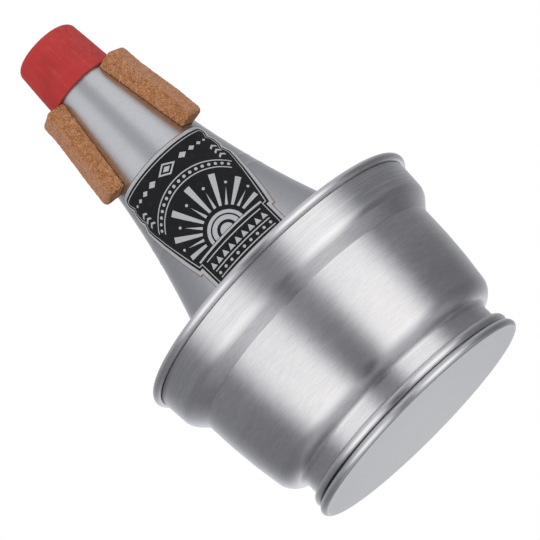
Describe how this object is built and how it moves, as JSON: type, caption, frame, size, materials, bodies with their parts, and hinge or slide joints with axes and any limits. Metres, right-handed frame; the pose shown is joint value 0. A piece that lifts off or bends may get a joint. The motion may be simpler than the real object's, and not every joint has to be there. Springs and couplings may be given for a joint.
{
  "type": "trombone cup mute",
  "caption": "Spun aluminium cup mute for a tenor trombone: a cork-lined cone with an open red tip, inside a stepped cup closed by a flat end disc.",
  "frame": {"origin": "centre of the end disc's flat face", "axes": "+Z along the axis of the mute, towards its small end; the label faces -Y"},
  "size_m": [0.165, 0.165, 0.261],
  "materials": {
    "spun_aluminium": "satin, brushed round the axis",
    "disc_aluminium": "fine satin",
    "red_rubber": "matte, lightly scuffed",
    "cork": "raw granulated cork",
    "printed_foil": "satin print, black on silver",
    "lining": "rough cast composition"
  },
  "bodies": {
    "root": {"body_shell": "spun_aluminium", "body_lining": "lining", "end_disc": "disc_aluminium", "cup_shell": "spun_aluminium", "tip_cap": "red_rubber", "cork_left": "cork", "cork_right": "cork", "cork_rear": "cork", "label": "printed_foil"}
  },
  "joints": []
}
